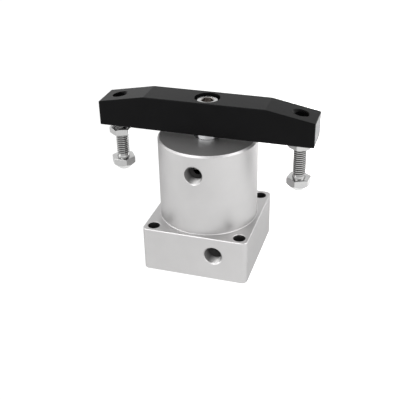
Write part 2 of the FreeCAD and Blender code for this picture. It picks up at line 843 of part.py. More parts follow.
def make_piston_clip():
    inner = "widths.spigot_dia / 2 - sizes.clip_slot_depth + sizes.fit_gap"
    outer = f"{inner} + sizes.clip_width"
    top = "levels.clip_top"
    low = f"{top} - sizes.clip_thick"
    body = turned("piston_clip", [(inner, low), (outer, low), (outer, top), (inner, top)])
    mouth = notch(body, "clip_mouth_outline", "sizes.clip_mouth", f"{outer} + {OVERRUN}", top)
    pocket(body, "clip_mouth", mouth, "sizes.clip_thick")
    return body


def make_piston_rod():
    bore = "sizes.guide_dia / 2 + sizes.guide_gap"
    spigot = "widths.spigot_dia / 2"
    slot = f"{spigot} - sizes.clip_slot_depth"
    rod = "sizes.rod_dia / 2"
    tang = "widths.tang_dia / 2"
    tap = "sizes.screw_dia / 2 + sizes.fit_gap"
    bore_end = "levels.guide_top + sizes.guide_end_gap"
    tap_end = "levels.screw_end - sizes.rod_tap_extra"
    low = "levels.piston_bottom + sizes.spigot_inset"
    body = turned("piston_rod", [
        (bore, low),
        (spigot, low),
        (spigot, "levels.clip_top - sizes.clip_thick - sizes.fit_gap"),
        (slot, "levels.clip_top - sizes.clip_thick - sizes.fit_gap"),
        (slot, "levels.clip_top"),
        (spigot, "levels.clip_top"),
        (spigot, "levels.piston_top"),
        (rod, "levels.piston_top"),
        (rod, "levels.arm_bottom - sizes.rod_edge"),
        (f"{rod} - sizes.rod_edge", "levels.arm_bottom"),
        (tang, "levels.arm_bottom"),
        (tang, "levels.tang_top"),
        (tap, "levels.tang_top"),
        (tap, tap_end),
        ("0", f"{tap_end} - ({tap}) * sizes.drill_point"),
        ("0", f"{bore_end} + ({bore}) * sizes.drill_point"),
        (bore, bore_end),
    ])
    side = [
        (f"-{rod}", "sizes.tang_flats / 2"),
        (rod, "sizes.tang_flats / 2"),
        (rod, rod),
        (f"-{rod}", rod),
    ]
    flat = outline(body, "tang_flat_outline", "XY_Plane", side, "levels.tang_top")
    first = pocket(body, "tang_flat", flat, "sizes.tang_height")
    repeat(body, "tang_flats", first, flat, 2)
    cross_hole(body, "rod_pin_hole")
    return body


# Clamp arm and its screw

def make_clamp_arm():
    blank = new_body("arm_blank")
    half = "sizes.arm_length / 2"
    flat = "sizes.arm_flat / 2"
    low = "levels.arm_bottom"
    side = [
        (f"-{half}", low),
        (half, low),
        (half, "levels.arm_end_top"),
        (flat, "levels.arm_top"),
        (f"-{flat}", "levels.arm_top"),
        (f"-{half}", "levels.arm_end_top"),
    ]
    pad(blank, "arm_bar", outline(blank, "arm_side", "XZ_Plane", side), "sizes.arm_width", Midplane=True)
    dress(blank, "Chamfer", "arm_edges", "sizes.arm_chamfer", lambda edge: True)

    bay = circle(blank, "bay_circle", "widths.screw_bay_dia / 2", "levels.arm_top")
    pocket(blank, "screw_bay", bay, "levels.arm_top - levels.bay_floor")
    hole = circle(blank, "arm_screw_circle", "widths.screw_hole_dia / 2", "levels.arm_top")
    pocket(blank, "arm_screw_hole", hole, f"sizes.arm_thick + {OVERRUN}")

    centre = "widths.bolt_spacing / 2"
    wall = f"{centre} + sizes.bolt_dia / 2 + sizes.slide_gap"
    slope = "(sizes.arm_thick - sizes.arm_end_thick) / (sizes.arm_length / 2 - sizes.arm_flat / 2)"
    mouth = f"levels.arm_top - ({centre} - {flat}) * {slope}"
    tapped = outline(blank, "bolt_hole_profile", "XZ_Plane", [
        (centre, f"{low} - {OVERRUN}"),
        (f"{wall} + sizes.arm_hole_chamfer + {OVERRUN}", f"{low} - {OVERRUN}"),
        (wall, f"{low} + sizes.arm_hole_chamfer"),
        (wall, f"{mouth} - sizes.arm_hole_chamfer"),
        (f"{wall} + sizes.bolt_dia", f"{mouth} - sizes.arm_hole_chamfer + sizes.bolt_dia"),
        (centre, f"{mouth} - sizes.arm_hole_chamfer + sizes.bolt_dia"),
    ], axis=[(centre, low), (centre, "levels.arm_top")])
    first = groove(blank, "bolt_hole", tapped, "Axis0")
    mirror(blank, "bolt_holes", first, "YZ_Plane")

    # The socket under the arm takes the rod's flatted tang
    round_tool = primitive("Cylinder", "tang_round", Radius="widths.tang_dia / 2 + sizes.fit_gap",
                           Height=f"sizes.tang_height + sizes.fit_gap + {OVERRUN}")
    place(round_tool, z=f"{low} - {OVERRUN}")
    flat_tool = primitive("Box", "tang_square", Length="2 * widths.tang_dia",
                          Width="sizes.tang_flats + 2 * sizes.fit_gap",
                          Height=f"sizes.tang_height + sizes.fit_gap + {OVERRUN}")
    place(flat_tool, x="-widths.tang_dia", y="-sizes.tang_flats / 2 - sizes.fit_gap", z=f"{low} - {OVERRUN}")
    return combine("Cut", "clamp_arm", [blank, combine("Common", "tang_socket", [round_tool, flat_tool])])


def make_arm_screw():
    shank = "sizes.screw_dia / 2"
    head = "sizes.screw_head_dia / 2"
    end = "levels.screw_end"
    body = turned("arm_screw", [
        ("0", end),
        (f"{shank} - sizes.bolt_tip", end),
        (shank, f"{end} + sizes.bolt_tip"),
        (shank, "levels.screw_seat"),
        (head, "levels.screw_seat"),
        (head, "levels.screw_top - sizes.screw_head_edge"),
        (f"{head} - sizes.screw_head_edge", "levels.screw_top"),
        ("0", "levels.screw_top"),
    ])
    socket = hexagon(body, "arm_socket_outline", "sizes.screw_socket", "levels.screw_top")
    pocket(body, "arm_socket", socket, "sizes.screw_socket_depth")
    place(body, turn="sizes.screw_turn")
    return body


def make_spring_washer():
    inner = "sizes.screw_dia / 2 + sizes.fit_gap"
    outer = "sizes.washer_dia / 2"
    low = "levels.bay_floor"
    top = "levels.screw_seat"
    body = turned("spring_washer", [(inner, low), (outer, low), (outer, top), (inner, top)])
    lean = "sizes.washer_thick * tan(sizes.washer_slit_lean)"
    slit = outline(body, "slit_outline", "YZ_Plane", [
        (f"-{lean} / 2", low),
        (f"-{lean} / 2 + sizes.washer_slit", low),
        (f"{lean} / 2 + sizes.washer_slit", top),
        (f"{lean} / 2", top),
    ])
    pocket(body, "washer_slit", slit, "sizes.washer_dia", Reversed=True)
    return body


# Clamp bolts and lock nuts, made about their own axis and then put in place

def make_clamp_bolt(side, x):
    prism = primitive("Prism", f"{side}_head_prism", Height="sizes.bolt_head",
                      Circumradius="sizes.bolt_flats / sqrt(3)")
    place(prism, z="-sizes.bolt_head")
    taper = primitive("Cone", f"{side}_head_taper", Radius1="sizes.bolt_face / 2", Height="sizes.bolt_head",
                      Radius2="sizes.bolt_face / 2 + sizes.bolt_head * tan(sizes.bolt_taper)")
    place(taper, z="-sizes.bolt_head")
    head = combine("Common", f"{side}_bolt_head", [prism, taper])
    shank = primitive("Cylinder", f"{side}_bolt_shank", Radius="sizes.bolt_dia / 2",
                      Height="sizes.bolt_length - sizes.bolt_tip")
    tip = primitive("Cone", f"{side}_bolt_tip", Radius1="sizes.bolt_dia / 2",
                    Radius2="sizes.bolt_dia / 2 - sizes.bolt_tip", Height="sizes.bolt_tip")
    place(tip, z="sizes.bolt_length - sizes.bolt_tip")
    bolt = combine("MultiFuse", f"{side}_clamp_bolt", [head, shank, tip])
    bolt.Refine = True
    place(bolt, x=x, z=f"levels.arm_bottom - sizes.{side}_bolt_reach", turn=f"sizes.{side}_bolt_turn")
    return bolt


def make_lock_nut(side, x):
    prism = primitive("Prism", f"{side}_nut_prism", Height="sizes.nut_thick",
                      Circumradius="sizes.nut_flats / sqrt(3)")
    hole = "sizes.bolt_dia / 2 + sizes.slide_gap"
    mouth = f"{hole} + sizes.nut_hole_chamfer"
    face = "sizes.nut_face / 2"
    reach = "sizes.nut_flats"
    fall = f"({reach} - {face}) * sizes.nut_slope"
    top = "sizes.nut_thick"
    form = new_body(f"{side}_nut_form")
    revolve(form, f"{side}_nut_turned", [
        (mouth, "0"),
        (face, "0"),
        (reach, fall),
        (reach, f"{top} + {reach}"),
        (hole, f"{top} + {reach}"),
        (hole, "sizes.nut_hole_chamfer"),
    ])
    lid = new_body(f"{side}_nut_lid")
    revolve(lid, f"{side}_nut_lid_turned", [
        ("0", f"-{reach}"),
        (reach, f"-{reach}"),
        (reach, f"{top} - {fall}"),
        (face, top),
        (mouth, top),
        ("0", f"{top} - ({mouth})"),
    ])
    nut = doc.addObject("Part::MultiCommon", f"{side}_lock_nut")
    nut.Label = f"{side}_lock_nut"
    nut.Shapes = [prism, form, lid]
    place(nut, x=x, z=f"levels.arm_bottom - sizes.{side}_nut_gap - sizes.nut_thick",
          turn=f"sizes.{side}_nut_turn")
    return nut


subparts = [
    make_cylinder_body(),
    make_bottom_cover(),
    make_cover_o_ring(),
    make_cover_key(),
    make_retaining_ring(),
    make_guide_shaft(),
    make_guide_screw(),
    make_bumper("lower_bumper", "sizes.bumper_hole / 2",
                "levels.cover_top - sizes.bumper_seat", "levels.cover_top + sizes.bumper_proud"),
    make_bumper("upper_bumper", "sizes.rod_dia / 2 + sizes.rod_bumper_gap",
                "levels.roof - sizes.bumper_proud", "levels.roof + sizes.bumper_seat"),
    make_rod_bush(),
    make_rod_seal(),
    make_rod_wiper(),
    make_piston(),
    make_piston_seal(),
    make_wear_ring(),
    make_guide_pins(),
    make_rod_o_ring(),
    make_piston_clip(),
    make_piston_rod(),
    make_clamp_arm(),
    make_arm_screw(),
    make_spring_washer(),
]
for side, x in (("left", "-widths.bolt_spacing / 2"), ("right", "widths.bolt_spacing / 2")):
    subparts.append(make_clamp_bolt(side, x))
    subparts.append(make_lock_nut(side, x))

doc.recompute()
for item in doc.Objects:
    if "Invalid" in item.State or "Error" in item.State:
        raise RuntimeError(f"{item.Label} did not recompute: {item.State}")
for item in subparts:
    if item.Shape.isNull() or not item.Shape.isValid():
        raise RuntimeError(f"{item.Label} has no valid shape")

os.makedirs("parts", exist_ok=True)
for item in subparts:
    item.Shape.exportStep(f"parts/{item.Label}.step")
    box = item.Shape.BoundBox
    print(f"{item.Label}: {len(item.Shape.Solids)} solid, {item.Shape.Volume:.1f} mm3, "
          f"z {box.ZMin:.2f} to {box.ZMax:.2f}")
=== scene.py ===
import json
import math

import bpy
from mathutils import Matrix, Vector


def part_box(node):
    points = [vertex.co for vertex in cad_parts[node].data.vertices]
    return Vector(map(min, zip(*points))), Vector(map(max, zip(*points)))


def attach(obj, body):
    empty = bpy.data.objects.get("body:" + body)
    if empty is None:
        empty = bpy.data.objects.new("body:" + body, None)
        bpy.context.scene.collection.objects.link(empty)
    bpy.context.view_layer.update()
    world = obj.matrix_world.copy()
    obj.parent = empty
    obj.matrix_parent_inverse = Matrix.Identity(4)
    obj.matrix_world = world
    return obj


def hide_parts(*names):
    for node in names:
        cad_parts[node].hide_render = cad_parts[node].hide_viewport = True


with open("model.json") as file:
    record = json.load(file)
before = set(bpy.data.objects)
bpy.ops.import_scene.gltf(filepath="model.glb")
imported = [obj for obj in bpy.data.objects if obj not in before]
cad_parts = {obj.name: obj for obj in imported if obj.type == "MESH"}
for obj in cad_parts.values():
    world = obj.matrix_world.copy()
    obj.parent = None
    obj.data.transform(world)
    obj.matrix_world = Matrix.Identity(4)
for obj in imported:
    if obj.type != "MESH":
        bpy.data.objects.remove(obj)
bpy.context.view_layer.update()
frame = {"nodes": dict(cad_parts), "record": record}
bpy.ops.object.select_all(action="DESELECT")
print("frame loaded:", len(frame["nodes"]), "nodes")

mm = 0.001
fullTurn = 2 * math.pi
weldGap = 0.001 * mm  # points this close become one
cutGap = 0.0001 * mm  # points this close to a cut lie on it
roundSteps = 72  # facets round a small turned form
fineSteps = 96  # facets round a larger one
sharpAngle = 28  # degrees; edges bent less than this are shaded soft
mounts = {mount["name"]: mount for mount in frame["record"]["mounts"]}


# small helpers for working by operator

def focus(piece):
    bpy.ops.object.select_all(action="DESELECT")
    piece.select_set(True)
    bpy.context.view_layer.objects.active = piece


def startEdit(piece):
    focus(piece)
    bpy.ops.object.mode_set(mode="EDIT")
    bpy.ops.mesh.select_all(action="SELECT")


def endEdit():
    bpy.ops.object.mode_set(mode="OBJECT")


def nameActive(name):
    piece = bpy.context.object
    piece.name = name
    piece.data.name = name
    return piece


def applyModifier(piece, kind, **settings):
    modifier = piece.modifiers.new(kind, kind)
    for key, value in settings.items():
        setattr(modifier, key, value)
    focus(piece)
    bpy.ops.object.modifier_apply(modifier=modifier.name)


def combine(piece, tool, operation):
    applyModifier(piece, "BOOLEAN", object=tool, operation=operation, solver="EXACT")
    bpy.data.objects.remove(tool)


def putAt(piece, place, turn=(0, 0, 0)):
    piece.location = place
    piece.rotation_euler = turn
    focus(piece)
    bpy.ops.object.transform_apply(location=True, rotation=True, scale=True)


# a chain of edges drawn point by point in the XZ plane, as (radius, height)
def drawProfile(name, points):
    bpy.ops.object.select_all(action="DESELECT")
    bpy.ops.mesh.primitive_plane_add(size=mm)
    piece = nameActive(name)
    startEdit(piece)
    bpy.ops.mesh.merge(type="CENTER")
    bpy.ops.transform.translate(value=(points[0][0], 0, points[0][1]))
    for (radius, height), (nextRadius, nextHeight) in zip(points, points[1:]):
        step = (nextRadius - radius, 0, nextHeight - height)
        bpy.ops.mesh.extrude_region_move(TRANSFORM_OT_translate={"value": step})
    endEdit()
    return piece


# points along a rounded edge of a profile, both ends included
def roundEdge(centre, radius, fromDegrees, toDegrees, steps=6):
    points = []
    for step in range(steps + 1):
        angle = math.radians(fromDegrees + (toDegrees - fromDegrees) * step / steps)
        points.append((centre[0] + radius * math.cos(angle), centre[1] + radius * math.sin(angle)))
    return points


def closeShell(piece):
    startEdit(piece)
    bpy.ops.mesh.remove_doubles(threshold=weldGap)
    bpy.ops.mesh.normals_make_consistent(inside=False)
    endEdit()


# a turned solid: the profile starts and ends on the axis, or closes on itself
def turnSolid(name, points, steps=roundSteps):
    piece = drawProfile(name, points)
    startEdit(piece)
    bpy.ops.mesh.spin(steps=steps, angle=fullTurn, center=(0, 0, 0), axis=(0, 0, 1))
    endEdit()
    closeShell(piece)
    return piece


# winds a profile up the Z axis, one pitch a turn
def windUp(piece, pitch, turns, steps):
    applyModifier(piece, "SCREW", axis="Z", angle=fullTurn, screw_offset=pitch, iterations=turns,
                  steps=steps, render_steps=steps)
    closeShell(piece)


metricThread = {"pitch": 1.0 * mm, "minor": 2.39 * mm, "major": 3.0 * mm, "crest": 0.19, "steps": 40}
tappedThread = {"pitch": 1.0 * mm, "minor": 2.85 * mm, "major": 3.45 * mm, "crest": 0.16, "steps": 40}
threadForm = {"flankDegrees": 30, "openTurns": 1.37, "spareTurns": 3}


# a length of screw thread standing on z = 0, closed with flat ends
def makeThreadedRod(name, thread, length):
    pitch, minor, major = thread["pitch"], thread["minor"], thread["major"]
    flank = (major - minor) * math.tan(math.radians(threadForm["flankDegrees"]))
    crest = thread["crest"] * pitch
    root = pitch - 2 * flank - crest
    turns = math.ceil(length / pitch) + threadForm["spareTurns"]
    start = threadForm["openTurns"] * pitch  # past the first, open turn
    piece = drawProfile(name, [(minor, 0), (minor, root), (major, root + flank),
                               (major, root + flank + crest), (minor, pitch)])
    windUp(piece, pitch, turns, thread["steps"])
    for height, below in ((start, True), (start + length, False)):
        startEdit(piece)
        bpy.ops.mesh.bisect(plane_co=(0, 0, height), plane_no=(0, 0, 1), use_fill=True,
                            clear_inner=below, clear_outer=not below, threshold=cutGap)
        endEdit()
    closeShell(piece)
    putAt(piece, (0, 0, -start))
    return piece


# soft shading that keeps wide flats flat beside worn edges
def smoothByAngle(piece, degrees=sharpAngle):
    focus(piece)
    bpy.ops.object.shade_smooth_by_angle(angle=math.radians(degrees))
    applyModifier(piece, "WEIGHTED_NORMAL", weight=100, keep_sharp=True)


# small helpers for finishes; an input is a fixed value or another node's output

def addNode(tree, kind, inputs=(), **settings):
    node = tree.nodes.new("ShaderNode" + kind)
    for key, value in settings.items():
        setattr(node, key, value)
    for socket, value in dict(inputs).items():
        if isinstance(value, bpy.types.NodeSocket):
            tree.links.new(value, node.inputs[socket])
        else:
            node.inputs[socket].default_value = value
    return node


def newFinish(name):
    finish = bpy.data.materials.new(name)
    finish.use_nodes = True
    tree = finish.node_tree
    return finish, tree, tree.nodes["Principled BSDF"]


def link(tree, source, shader, socket):
    tree.links.new(source, shader.inputs[socket])


def sums(tree, operation, first, second=0.0):
    return addNode(tree, "Math", {0: first, 1: second}, operation=operation).outputs[0]


def ramp(tree, source, start=0.0, end=1.0, low=0.0, high=1.0):
    limits = {"Value": source, "From Min": start, "From Max": end, "To Min": low, "To Max": high}
    return addNode(tree, "MapRange", limits).outputs["Result"]


def blend(tree, factor, first, second):
    if not isinstance(first, bpy.types.NodeSocket):
        first = (*first, 1)
    return addNode(tree, "Mix", {0: factor, 6: first, 7: (*second, 1)}, data_type="RGBA").outputs[2]


def axisOf(tree, vector, axis):
    return addNode(tree, "SeparateXYZ", {0: vector}).outputs[axis]


# one quarter stands for all four
def foldQuarters(tree, spot):
    return addNode(tree, "VectorMath", {0: spot}, operation="ABSOLUTE").outputs[0]


uprightLine = (1, 1, 0)  # the 0 leaves out the line's own direction
depthLine = (1, 0, 1)


# distance from a line through a point
def awayFrom(tree, spot, point, line):
    away = addNode(tree, "VectorMath", {0: spot, 1: point}, operation="SUBTRACT").outputs[0]
    flat = addNode(tree, "VectorMath", {0: away, 1: line}, operation="MULTIPLY").outputs[0]
    return addNode(tree, "VectorMath", {0: flat}, operation="LENGTH").outputs["Value"]


mottleDetail = 3.0
lineDetail = 2.0


def mottle(tree, spot, size):
    return addNode(tree, "TexNoise", {"Vector": spot, "Scale": 1 / size, "Detail": mottleDetail}).outputs[0]


def toolLines(tree, path, feed):
    return addNode(tree, "TexNoise", {"W": path, "Scale": 1 / feed, "Detail": lineDetail},
                   noise_dimensions="1D").outputs[0]


def bumpFrom(tree, height, strength, depth):
    marks = {"Height": height, "Strength": strength, "Distance": depth}
    return addNode(tree, "Bump", marks).outputs["Normal"]


levelLimit = 0.5  # a face is level where its normal rises or falls more than this


# the coordinate that tool marks step along: the height on upright walls, the radius on level faces;
# also 1 on level faces, and how far a face looks up
def toolPath(tree, place):
    spot = place.outputs["Object"]
    up = axisOf(tree, place.outputs["Normal"], "Z")
    onTop = sums(tree, "GREATER_THAN", sums(tree, "ABSOLUTE", up), levelLimit)
    radius = awayFrom(tree, spot, (0, 0, 0), uprightLine)
    path = addNode(tree, "Mix", {0: onTop, 2: axisOf(tree, spot, "Z"), 3: radius})
    return path.outputs[0], onTop, up


# painted shade inside the body's holes

paintedBoreLook = {"dark": (0.055, 0.053, 0.053), "roughness": 0.60, "hole": 0.90, "mouth": (0.08, 0.84),
            "brightSide": 0.33, "brightBand": (0.05, 0.90), "deepening": 3.5, "margin": 0.06 * mm,
            "innerWall": 15 * mm}


# painted shade: darkest on the left wall and darker with depth, with a painted lit band just right of the
# port's centre
def paintedPortShade(tree, spot, mount):
    x, y, z = mount["pos_m"]
    half = mount["dims"]["length_mm"] * mm / 2
    radius = mount["dims"]["r_mm"] * mm
    bright, dull = paintedBoreLook["brightBand"]
    away = awayFrom(tree, spot, (x, 0, z), depthLine)
    along = axisOf(tree, spot, "Y")
    inPort = sums(tree, "LESS_THAN", away, radius + paintedBoreLook["margin"])
    front = sums(tree, "LESS_THAN", along, -paintedBoreLook["innerWall"])
    aside = sums(tree, "SUBTRACT", axisOf(tree, spot, "X"), x + paintedBoreLook["brightSide"] * radius)
    mouth = ramp(tree, sums(tree, "ABSOLUTE", aside), bright * radius, dull * radius, *paintedBoreLook["mouth"])
    depth = sums(tree, "POWER", ramp(tree, along, y - half, y + half), paintedBoreLook["deepening"])
    shade = ramp(tree, depth, low=mouth)
    return sums(tree, "MULTIPLY", shade, sums(tree, "MULTIPLY", inPort, front))


# painted shade: 0 on the outside, rising to 1 in the fixing holes and the two air ports
def paintedBoreShade(tree, spot):
    screws = mounts["base_screws"]["dims"]
    corner = (screws["spacing_x_mm"] * mm / 2, screws["spacing_y_mm"] * mm / 2, 0)
    away = awayFrom(tree, foldQuarters(tree, spot), corner, uprightLine)
    inHole = sums(tree, "LESS_THAN", away, screws["hole_r_mm"] * mm + paintedBoreLook["margin"])
    shade = sums(tree, "MULTIPLY", inHole, paintedBoreLook["hole"])
    for name in ("upper_port", "lower_port"):
        shade = sums(tree, "MAXIMUM", shade, paintedPortShade(tree, spot, mounts[name]))
    return shade


# painted shade on the fasteners

paintedRootLook = {"dark": (0.045, 0.042, 0.040), "bottom": 2.40 * mm, "top": 2.92 * mm, "above": 2 * mm,
            "socket": 3.1 * mm, "socketTop": 0.03 * mm, "socketDark": (0.40, 0.375, 0.36)}


# painted shade: 1 in the roots of the bolts' threads, and 1 in the arm screw's socket, there with a warm
# tint
def paintedRootShade(tree, spot):
    low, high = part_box("right_clamp_bolt")
    height = axisOf(tree, spot, "Z")
    reach = awayFrom(tree, foldQuarters(tree, spot), ((low.x + high.x) / 2, 0, 0), uprightLine)
    deep = ramp(tree, reach, paintedRootLook["top"], paintedRootLook["bottom"])
    roots = sums(tree, "MULTIPLY", deep, sums(tree, "GREATER_THAN", height, low.z + paintedRootLook["above"]))
    away = awayFrom(tree, spot, (0, 0, 0), uprightLine)
    inSocket = sums(tree, "LESS_THAN", away, paintedRootLook["socket"])
    sunk = sums(tree, "LESS_THAN", height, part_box("arm_screw")[1].z - paintedRootLook["socketTop"])
    return roots, sums(tree, "MULTIPLY", inSocket, sunk)


# metals

markDepth = 0.02 * mm  # of tool marks and grain

metalLooks = {
    "satin_aluminium": {"light": (0.530, 0.524, 0.523), "dark": (0.480, 0.475, 0.474),
                        "roughness": (0.44, 0.54), "feed": 0.11 * mm, "patch": 9 * mm, "bump": 0.10,
                        "edge": (0.50, 0.50, 0.50), "faced": (0.72, 0.71, 0.71), "facing": 0.32,
                        "smoother": 0.08},
    "bright_steel": {"light": (0.505, 0.505, 0.50), "dark": (0.44, 0.44, 0.44), "roughness": (0.16, 0.26),
                     "feed": 0.20 * mm, "patch": 2.5 * mm, "bump": 0.06, "edge": (0.85, 0.85, 0.85),
                     "turned": (0.72, 0.72, 0.715), "turning": 0.85},
    "hard_chrome": {"light": (0.70, 0.71, 0.72), "dark": (0.62, 0.63, 0.64), "roughness": (0.05, 0.10),
                    "feed": 0.07 * mm, "patch": 4 * mm, "bump": 0.03, "edge": (0.90, 0.90, 0.90)},
    "hardened_steel": {"light": (0.52, 0.52, 0.53), "dark": (0.40, 0.40, 0.41), "roughness": (0.28, 0.40),
                       "feed": 0.09 * mm, "patch": 3 * mm, "bump": 0.08, "edge": (0.80, 0.80, 0.80)},
    "spring_steel": {"light": (0.16, 0.16, 0.165), "dark": (0.07, 0.07, 0.075), "roughness": (0.38, 0.52),
                     "feed": 0.16 * mm, "patch": 1.2 * mm, "bump": 0.10, "edge": (0.80, 0.80, 0.80)},
    "bearing_bronze": {"light": (0.62, 0.41, 0.19), "dark": (0.44, 0.28, 0.12), "roughness": (0.36, 0.50),
                       "feed": 0.10 * mm, "patch": 0.5 * mm, "bump": 0.10, "edge": (0.80, 0.80, 0.80)},
}


def makeMetal(slot):
    look = metalLooks[slot]
    finish, tree, shader = newFinish(slot)
    place = addNode(tree, "TexCoord")
    spot = place.outputs["Object"]
    path, onTop, up = toolPath(tree, place)
    lines = toolLines(tree, path, look["feed"])
    colour = blend(tree, mottle(tree, spot, look["patch"]), look["dark"], look["light"])
    roughness = ramp(tree, lines, 0.0, 1.0, *look["roughness"])
    if slot == "satin_aluminium":  # painted light: level faces get a lighter colour; they are also smoother
        colour = blend(tree, sums(tree, "MULTIPLY", onTop, look["facing"]), colour, look["faced"])
        smoother = ramp(tree, onTop, low=1.0, high=1 - look["smoother"])
        roughness = sums(tree, "MULTIPLY", roughness, smoother)
        # painted shade in the holes and ports, which are also made rougher
        shade = paintedBoreShade(tree, spot)
        colour = blend(tree, shade, colour, paintedBoreLook["dark"])
        roughness = sums(tree, "MAXIMUM", roughness, sums(tree, "MULTIPLY", shade, paintedBoreLook["roughness"]))
    if slot == "bright_steel":  # painted light: downward faces get a lighter colour
        under = sums(tree, "LESS_THAN", up, -levelLimit)
        colour = blend(tree, sums(tree, "MULTIPLY", under, look["turning"]), colour, look["turned"])
        # painted shade in the thread roots and the socket
        roots, socket = paintedRootShade(tree, spot)
        colour = blend(tree, roots, colour, paintedRootLook["dark"])
        colour = blend(tree, socket, colour, paintedRootLook["socketDark"])
    link(tree, colour, shader, "Base Color")
    link(tree, roughness, shader, "Roughness")
    link(tree, bumpFrom(tree, lines, look["bump"], markDepth), shader, "Normal")
    shader.inputs["Metallic"].default_value = 1.0
    shader.inputs["Specular Tint"].default_value = (*look["edge"], 1)
    return finish


# black anodising, with its grain drawn out along the arm

blackLook = {"light": (0.0035, 0.0035, 0.0038), "dark": (0.0018, 0.0018, 0.002), "roughness": (0.34, 0.44),
             "grain": 0.16 * mm, "stretch": (0.04, 1, 1), "patch": 6 * mm, "bump": 0.12, "sheen": 0.07}


def makeBlackAnodised():
    finish, tree, shader = newFinish("black_anodised")
    spot = addNode(tree, "TexCoord").outputs["Object"]
    drawnOut = addNode(tree, "Mapping", {"Vector": spot, "Scale": blackLook["stretch"]}).outputs[0]
    grain = mottle(tree, drawnOut, blackLook["grain"])
    patches = mottle(tree, spot, blackLook["patch"])
    link(tree, blend(tree, patches, blackLook["dark"], blackLook["light"]), shader, "Base Color")
    link(tree, ramp(tree, grain, 0.0, 1.0, *blackLook["roughness"]), shader, "Roughness")
    link(tree, bumpFrom(tree, grain, blackLook["bump"], markDepth), shader, "Normal")
    shader.inputs["Specular IOR Level"].default_value = blackLook["sheen"]
    return finish


# rubber and plastics

skinDepth = 0.03 * mm

softLooks = {
    "black_rubber": {"light": (0.030, 0.030, 0.031), "dark": (0.014, 0.014, 0.015),
                     "roughness": (0.50, 0.66), "patch": 0.8 * mm, "bump": 0.15},
    "urethane": {"light": (0.060, 0.030, 0.012), "dark": (0.040, 0.020, 0.008),
                 "roughness": (0.30, 0.42), "patch": 2.0 * mm, "bump": 0.06},
    "white_plastic": {"light": (0.82, 0.81, 0.77), "dark": (0.74, 0.73, 0.69),
                      "roughness": (0.40, 0.52), "patch": 1.0 * mm, "bump": 0.06},
}


def makeSoft(slot):
    look = softLooks[slot]
    finish, tree, shader = newFinish(slot)
    patches = mottle(tree, addNode(tree, "TexCoord").outputs["Object"], look["patch"])
    link(tree, blend(tree, patches, look["dark"], look["light"]), shader, "Base Color")
    link(tree, ramp(tree, patches, 0.0, 1.0, *look["roughness"]), shader, "Roughness")
    link(tree, bumpFrom(tree, patches, look["bump"], skinDepth), shader, "Normal")
    return finish


finishes = {slot: makeMetal(slot) for slot in metalLooks}
finishes.update({slot: makeSoft(slot) for slot in softLooks})
finishes["black_anodised"] = makeBlackAnodised()


def paint(piece, slot):
    piece.data.materials.clear()
    piece.data.materials.append(finishes[slot])


def dress(piece, body, slot):
    paint(piece, slot)
    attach(piece, body)


for part in frame["record"]["subparts"]:
    paint(frame["nodes"][part["node"]], part["material_slot"])
print("finishes made:", len(finishes))


# hexagon fasteners: a set bolt with a tapered head and a thin lock nut for each end of the arm

cornerSteps = 3


def makeHexPrism(name, flats, height, turn, corner=0):
    bpy.ops.object.select_all(action="DESELECT")
    cornerTurn = math.radians(turn + 30)  # the first corner starts on +Y
    bpy.ops.mesh.primitive_cylinder_add(vertices=6, radius=flats / math.sqrt(3), depth=height,
                                        location=(0, 0, height / 2), rotation=(0, 0, cornerTurn))
    piece = nameActive(name)
    bpy.ops.object.transform_apply(location=True, rotation=True, scale=True)
    if corner:
        startEdit(piece)
        bpy.ops.mesh.bevel(offset=corner, segments=cornerSteps, profile=0.5)  # every edge a little worn
        endEdit()
    return piece


boltLook = {"flats": 10 * mm, "head": 6.1 * mm, "face": 2.5 * mm, "taper": 45, "rim": 0.8 * mm,
            "corner": 0.22 * mm, "topFace": 5.3 * mm, "topFall": 0.3 * mm, "neck": 2.98 * mm,
            "neckEnd": 0.4 * mm, "runOut": 0.55 * mm, "runOutEnd": 2.0 * mm, "threadStart": 1.1 * mm,
            "tipRadius": 2.3 * mm, "tipFall": 1.0 * mm, "reach": 6.4 * mm,
            "turns": {"left": 5, "right": 23}}


def makeBolt(name, nodeName, body, turn):
    low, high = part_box(nodeName)
    middle = (low + high) / 2
    length = high.z - low.z
    head, face, reach = boltLook["head"], boltLook["face"], boltLook["reach"]
    rim, taper = boltLook["rim"], boltLook["taper"]
    flat = face - rim * math.tan(math.radians(taper) / 2)  # where the softened rim of the taper begins
    profile = [(0, 0)] + roundEdge((flat, rim), rim, -90, taper - 90)
    profile += [(reach, reach - face), (reach, head - 2 * boltLook["topFall"])]
    profile += [(boltLook["topFace"], head), (0, head)]
    form = turnSolid(name + "Form", profile, fineSteps)
    bolt = makeHexPrism(name, boltLook["flats"], head, turn, boltLook["corner"])
    combine(bolt, form, "INTERSECT")
    neck, runOut = boltLook["neck"], boltLook["runOut"]
    neckTop, runOutTop = head + boltLook["neckEnd"], head + boltLook["runOutEnd"]
    collar = turnSolid(name + "Neck", [(0, head - mm), (neck, head - mm), (neck, neckTop),
                                       (neck - runOut, runOutTop), (0, runOutTop)])
    combine(bolt, collar, "UNION")
    rod = makeThreadedRod(name + "Rod", metricThread, length)
    tip, fall = boltLook["tipRadius"], boltLook["tipFall"]
    start = head + boltLook["threadStart"]
    envelope = turnSolid(name + "Tip", [(0, start), (tip, start), (tip + fall, start + fall),
                                        (tip + fall, length - fall), (tip, length), (0, length)])
    combine(rod, envelope, "INTERSECT")
    combine(bolt, rod, "UNION")
    putAt(bolt, (middle.x, middle.y, low.z))
    smoothByAngle(bolt)
    dress(bolt, body, "bright_steel")
    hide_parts(nodeName)
    return bolt


for side, turn in boltLook["turns"].items():
    bolt = makeBolt(side + "SetBolt", side + "_clamp_bolt", side + "_bolt", turn)
    print("bolt made:", bolt.name, len(bolt.data.polygons), "faces")


nutLook = {"flats": 10 * mm, "corner": 0.28 * mm, "face": 4.7 * mm, "fall": 0.62 * mm, "reach": 6.4 * mm,
           "hole": 3.05 * mm, "mouth": 3.4 * mm, "turns": {"left": 23, "right": 25}}


